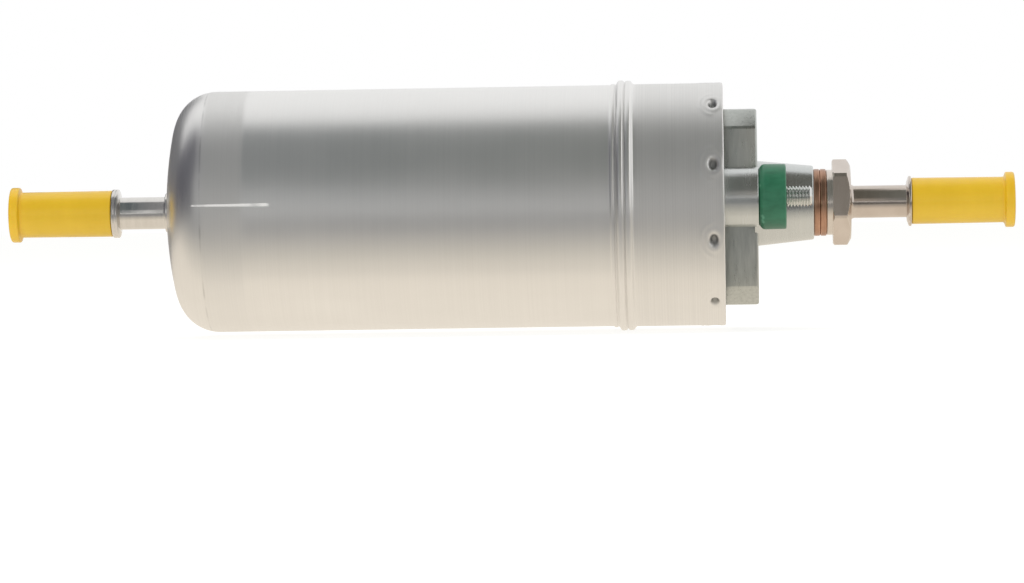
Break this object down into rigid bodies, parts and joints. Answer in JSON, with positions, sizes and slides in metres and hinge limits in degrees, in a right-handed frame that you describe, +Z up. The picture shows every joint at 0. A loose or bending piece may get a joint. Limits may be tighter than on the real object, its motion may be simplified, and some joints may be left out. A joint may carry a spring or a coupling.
{
  "type": "fuel pump",
  "caption": "Inline electric fuel pump in a round can, with a hose spigot under a cap at each end, two threaded terminals and a non-return valve in the outlet fitting.",
  "frame": {"origin": "on the pump axis, in the plain stretch of the can that a clamp strap holds", "axes": "+X along the pump axis towards the outlet, +Z up, with the terminals side by side along Y and the green one on the -Y side"},
  "size_m": [0.25, 0.0622, 0.0623],
  "materials": {
    "can_aluminium": "satin, fine drawn finish",
    "cast_aluminium": "satin casting",
    "tube_steel": "satin plated",
    "fitting_steel": "satin, warm plated",
    "zinc_steel": "bright plated",
    "spring_steel": "bright",
    "sintered_steel": "ground",
    "flux_steel": "rolled",
    "cap_plastic": "smooth moulded yellow",
    "green_plastic": "moulded green",
    "dark_plastic": "moulded black",
    "holder_plastic": "moulded",
    "mesh_plastic": "fine screen",
    "hub_resin": "moulded resin",
    "copper": "dull copper",
    "bronze": "sintered bronze",
    "enamelled_wire": "varnished",
    "magnet_ferrite": "sintered ferrite",
    "carbon": "pressed graphite",
    "seal_rubber": "smooth"
  },
  "bodies": {
    "root": {"pump_can": "can_aluminium", "inlet_fitting": "tube_steel", "inlet_strainer": "mesh_plastic", "damping_ring": "seal_rubber", "inlet_plate": "sintered_steel", "relief_plug": "zinc_steel", "relief_spring": "spring_steel", "pump_ring": "sintered_steel", "outlet_plate": "sintered_steel", "pump_screws": "zinc_steel", "front_bush": "bronze", "rear_bush": "bronze", "flux_ring": "flux_steel", "upper_magnet": "magnet_ferrite", "lower_magnet": "magnet_ferrite", "magnet_clips": "spring_steel", "brush_holder": "holder_plastic", "front_brush_spring": "spring_steel", "rear_brush_spring": "spring_steel", "front_brush_lead": "copper", "rear_brush_lead": "copper", "end_cover": "cast_aluminium", "cover_seal": "seal_rubber", "front_insulator": "green_plastic", "rear_insulator": "dark_plastic", "front_stud": "zinc_steel", "rear_stud": "zinc_steel", "sealing_washers": "copper", "outlet_fitting": "fitting_steel", "valve_seat": "bronze", "valve_spring": "spring_steel"},
    "armature": {"armature_shaft": "flux_steel", "armature_core": "flux_steel", "armature_winding": "enamelled_wire", "commutator_hub": "hub_resin", "commutator_segments": "copper", "thrust_washers": "zinc_steel", "drive_coupling": "holder_plastic", "rotor": "sintered_steel"},
    "roller_set": {"rollers": "spring_steel"},
    "relief_valve": {"relief_poppet": "zinc_steel"},
    "non_return_valve": {"valve_poppet": "bronze"},
    "front_brush": {"front_brush": "carbon"},
    "rear_brush": {"rear_brush": "carbon"},
    "inlet_cap": {"inlet_cap": "cap_plastic"},
    "outlet_cap": {"outlet_cap": "cap_plastic"}
  },
  "joints": [
    {"name": "armature_spin", "type": "hinge", "parent": "root", "child": "armature", "pos_m": [0, 0, 0], "axis": [1, 0, 0], "continuous": true},
    {"name": "roller_orbit", "type": "hinge", "parent": "root", "child": "roller_set", "pos_m": [-0.037, 0, 0.0008], "axis": [1, 0, 0], "continuous": true},
    {"name": "relief_lift", "type": "slide", "parent": "root", "child": "relief_valve", "axis": [-1, 0, 0], "range_m": [0, 0.0014], "stiffness_N_per_m": 300, "springref_m": -0.018, "deforming": ["relief_spring"]},
    {"name": "non_return_lift", "type": "slide", "parent": "root", "child": "non_return_valve", "axis": [1, 0, 0], "range_m": [0, 0.0025], "stiffness_N_per_m": 100, "springref_m": -0.006, "deforming": ["valve_spring"]},
    {"name": "inlet_cap_pull", "type": "slide", "parent": "root", "child": "inlet_cap", "axis": [-1, 0, 0], "range_m": [0, 0.06]},
    {"name": "outlet_cap_pull", "type": "slide", "parent": "root", "child": "outlet_cap", "axis": [1, 0, 0], "range_m": [0, 0.06]},
    {"name": "front_brush_slide", "type": "slide", "parent": "root", "child": "front_brush", "axis": [0, -1, 0], "range_m": [0, 0.002], "stiffness_N_per_m": 150, "springref_m": -0.006, "deforming": ["front_brush_spring", "front_brush_lead"]},
    {"name": "rear_brush_slide", "type": "slide", "parent": "root", "child": "rear_brush", "axis": [0, 1, 0], "range_m": [0, 0.002], "stiffness_N_per_m": 150, "springref_m": -0.006, "deforming": ["rear_brush_spring", "rear_brush_lead"]}
  ],
  "couplings": [
    {"joint": "roller_orbit", "follows": "armature_spin", "ratio": 1}
  ]
}
